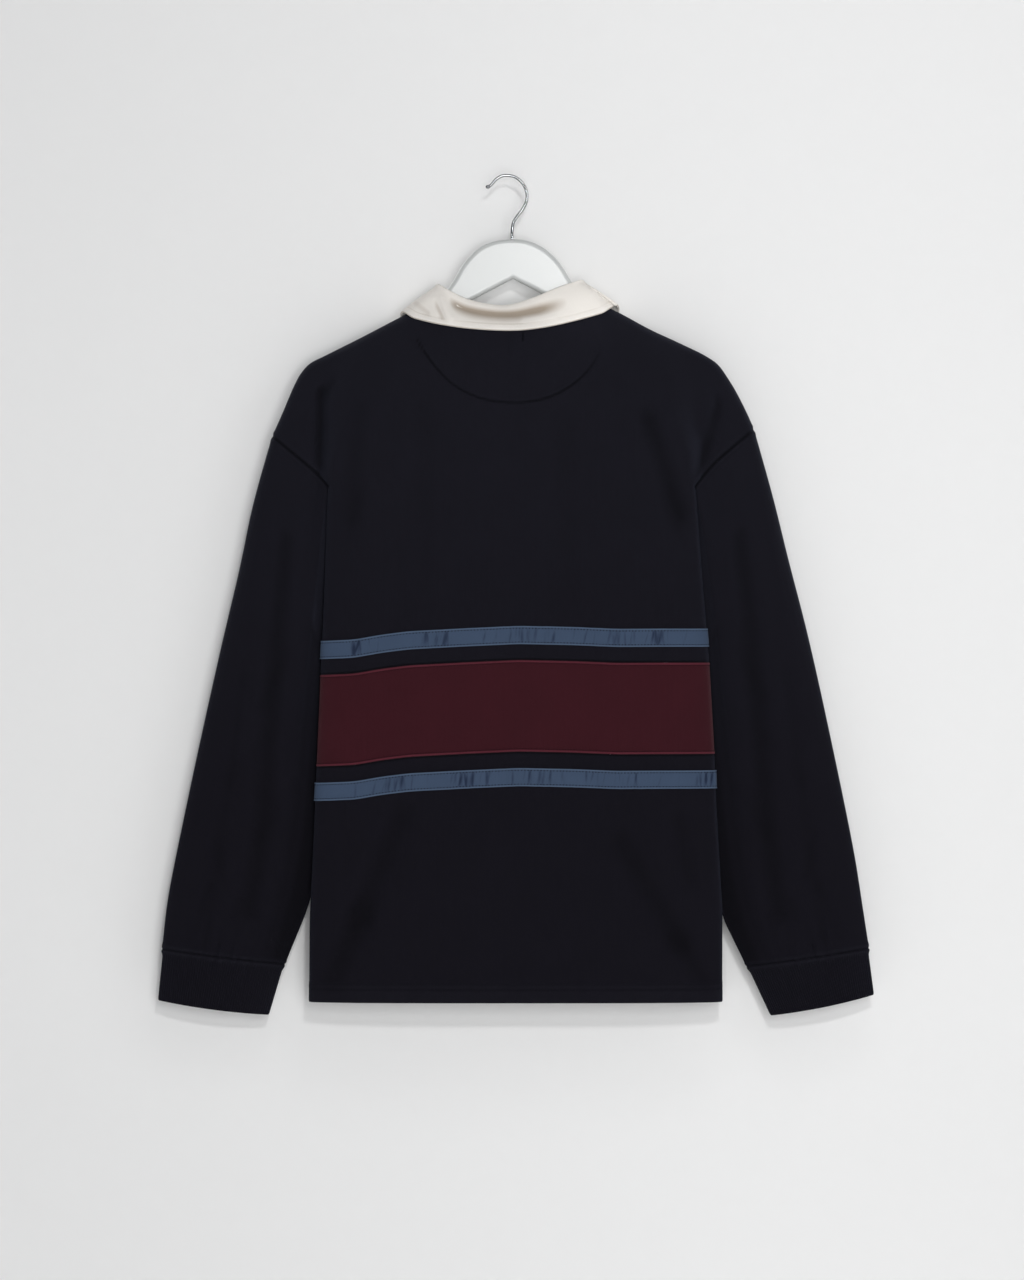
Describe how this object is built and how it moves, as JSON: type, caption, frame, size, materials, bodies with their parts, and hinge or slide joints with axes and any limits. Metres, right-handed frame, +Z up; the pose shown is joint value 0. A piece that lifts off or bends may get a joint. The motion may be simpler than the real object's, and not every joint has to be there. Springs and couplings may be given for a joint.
{
  "type": "rugby shirt on a hanger",
  "caption": "long-sleeved rugby shirt with a turned-down collar, a set-in chest band and woven tapes, hung flat on a lacquered hanger with a wire hook",
  "frame": {"origin": "the inner top of the hook's bend, where a rail or peg carries it", "axes": "+Z up, +X to the shirt's right sleeve, +Y out of the shirt's front; its back faces -Y"},
  "size_m": [0.7344, 0.0842, 0.8643],
  "materials": {
    "body_jersey": "heavy navy cotton jersey, matt",
    "cuff_rib": "navy cotton rib, matt",
    "band_jersey": "heavy burgundy cotton jersey, matt",
    "tape_weave": "slate blue woven herringbone tape",
    "collar_twill": "cream cotton twill, soft",
    "button_shell": "pale polished button",
    "hanger_lacquer": "smooth white lacquer, satin",
    "hook_wire": "bright chromed wire"
  },
  "bodies": {
    "root": {"back_upper": "body_jersey", "back_band": "band_jersey", "back_lower": "body_jersey", "back_tape_top": "tape_weave", "back_tape_bottom": "tape_weave", "front_upper": "body_jersey", "front_band": "band_jersey", "front_lower": "body_jersey", "front_tape_top": "tape_weave", "front_tape_bottom": "tape_weave", "sleeve_left": "body_jersey", "cuff_left": "cuff_rib", "sleeve_right": "body_jersey", "cuff_right": "cuff_rib", "collar": "collar_twill", "placket": "collar_twill", "button_1": "button_shell", "button_2": "button_shell", "button_3": "button_shell", "hanger": "hanger_lacquer", "hook": "hook_wire"}
  },
  "joints": []
}
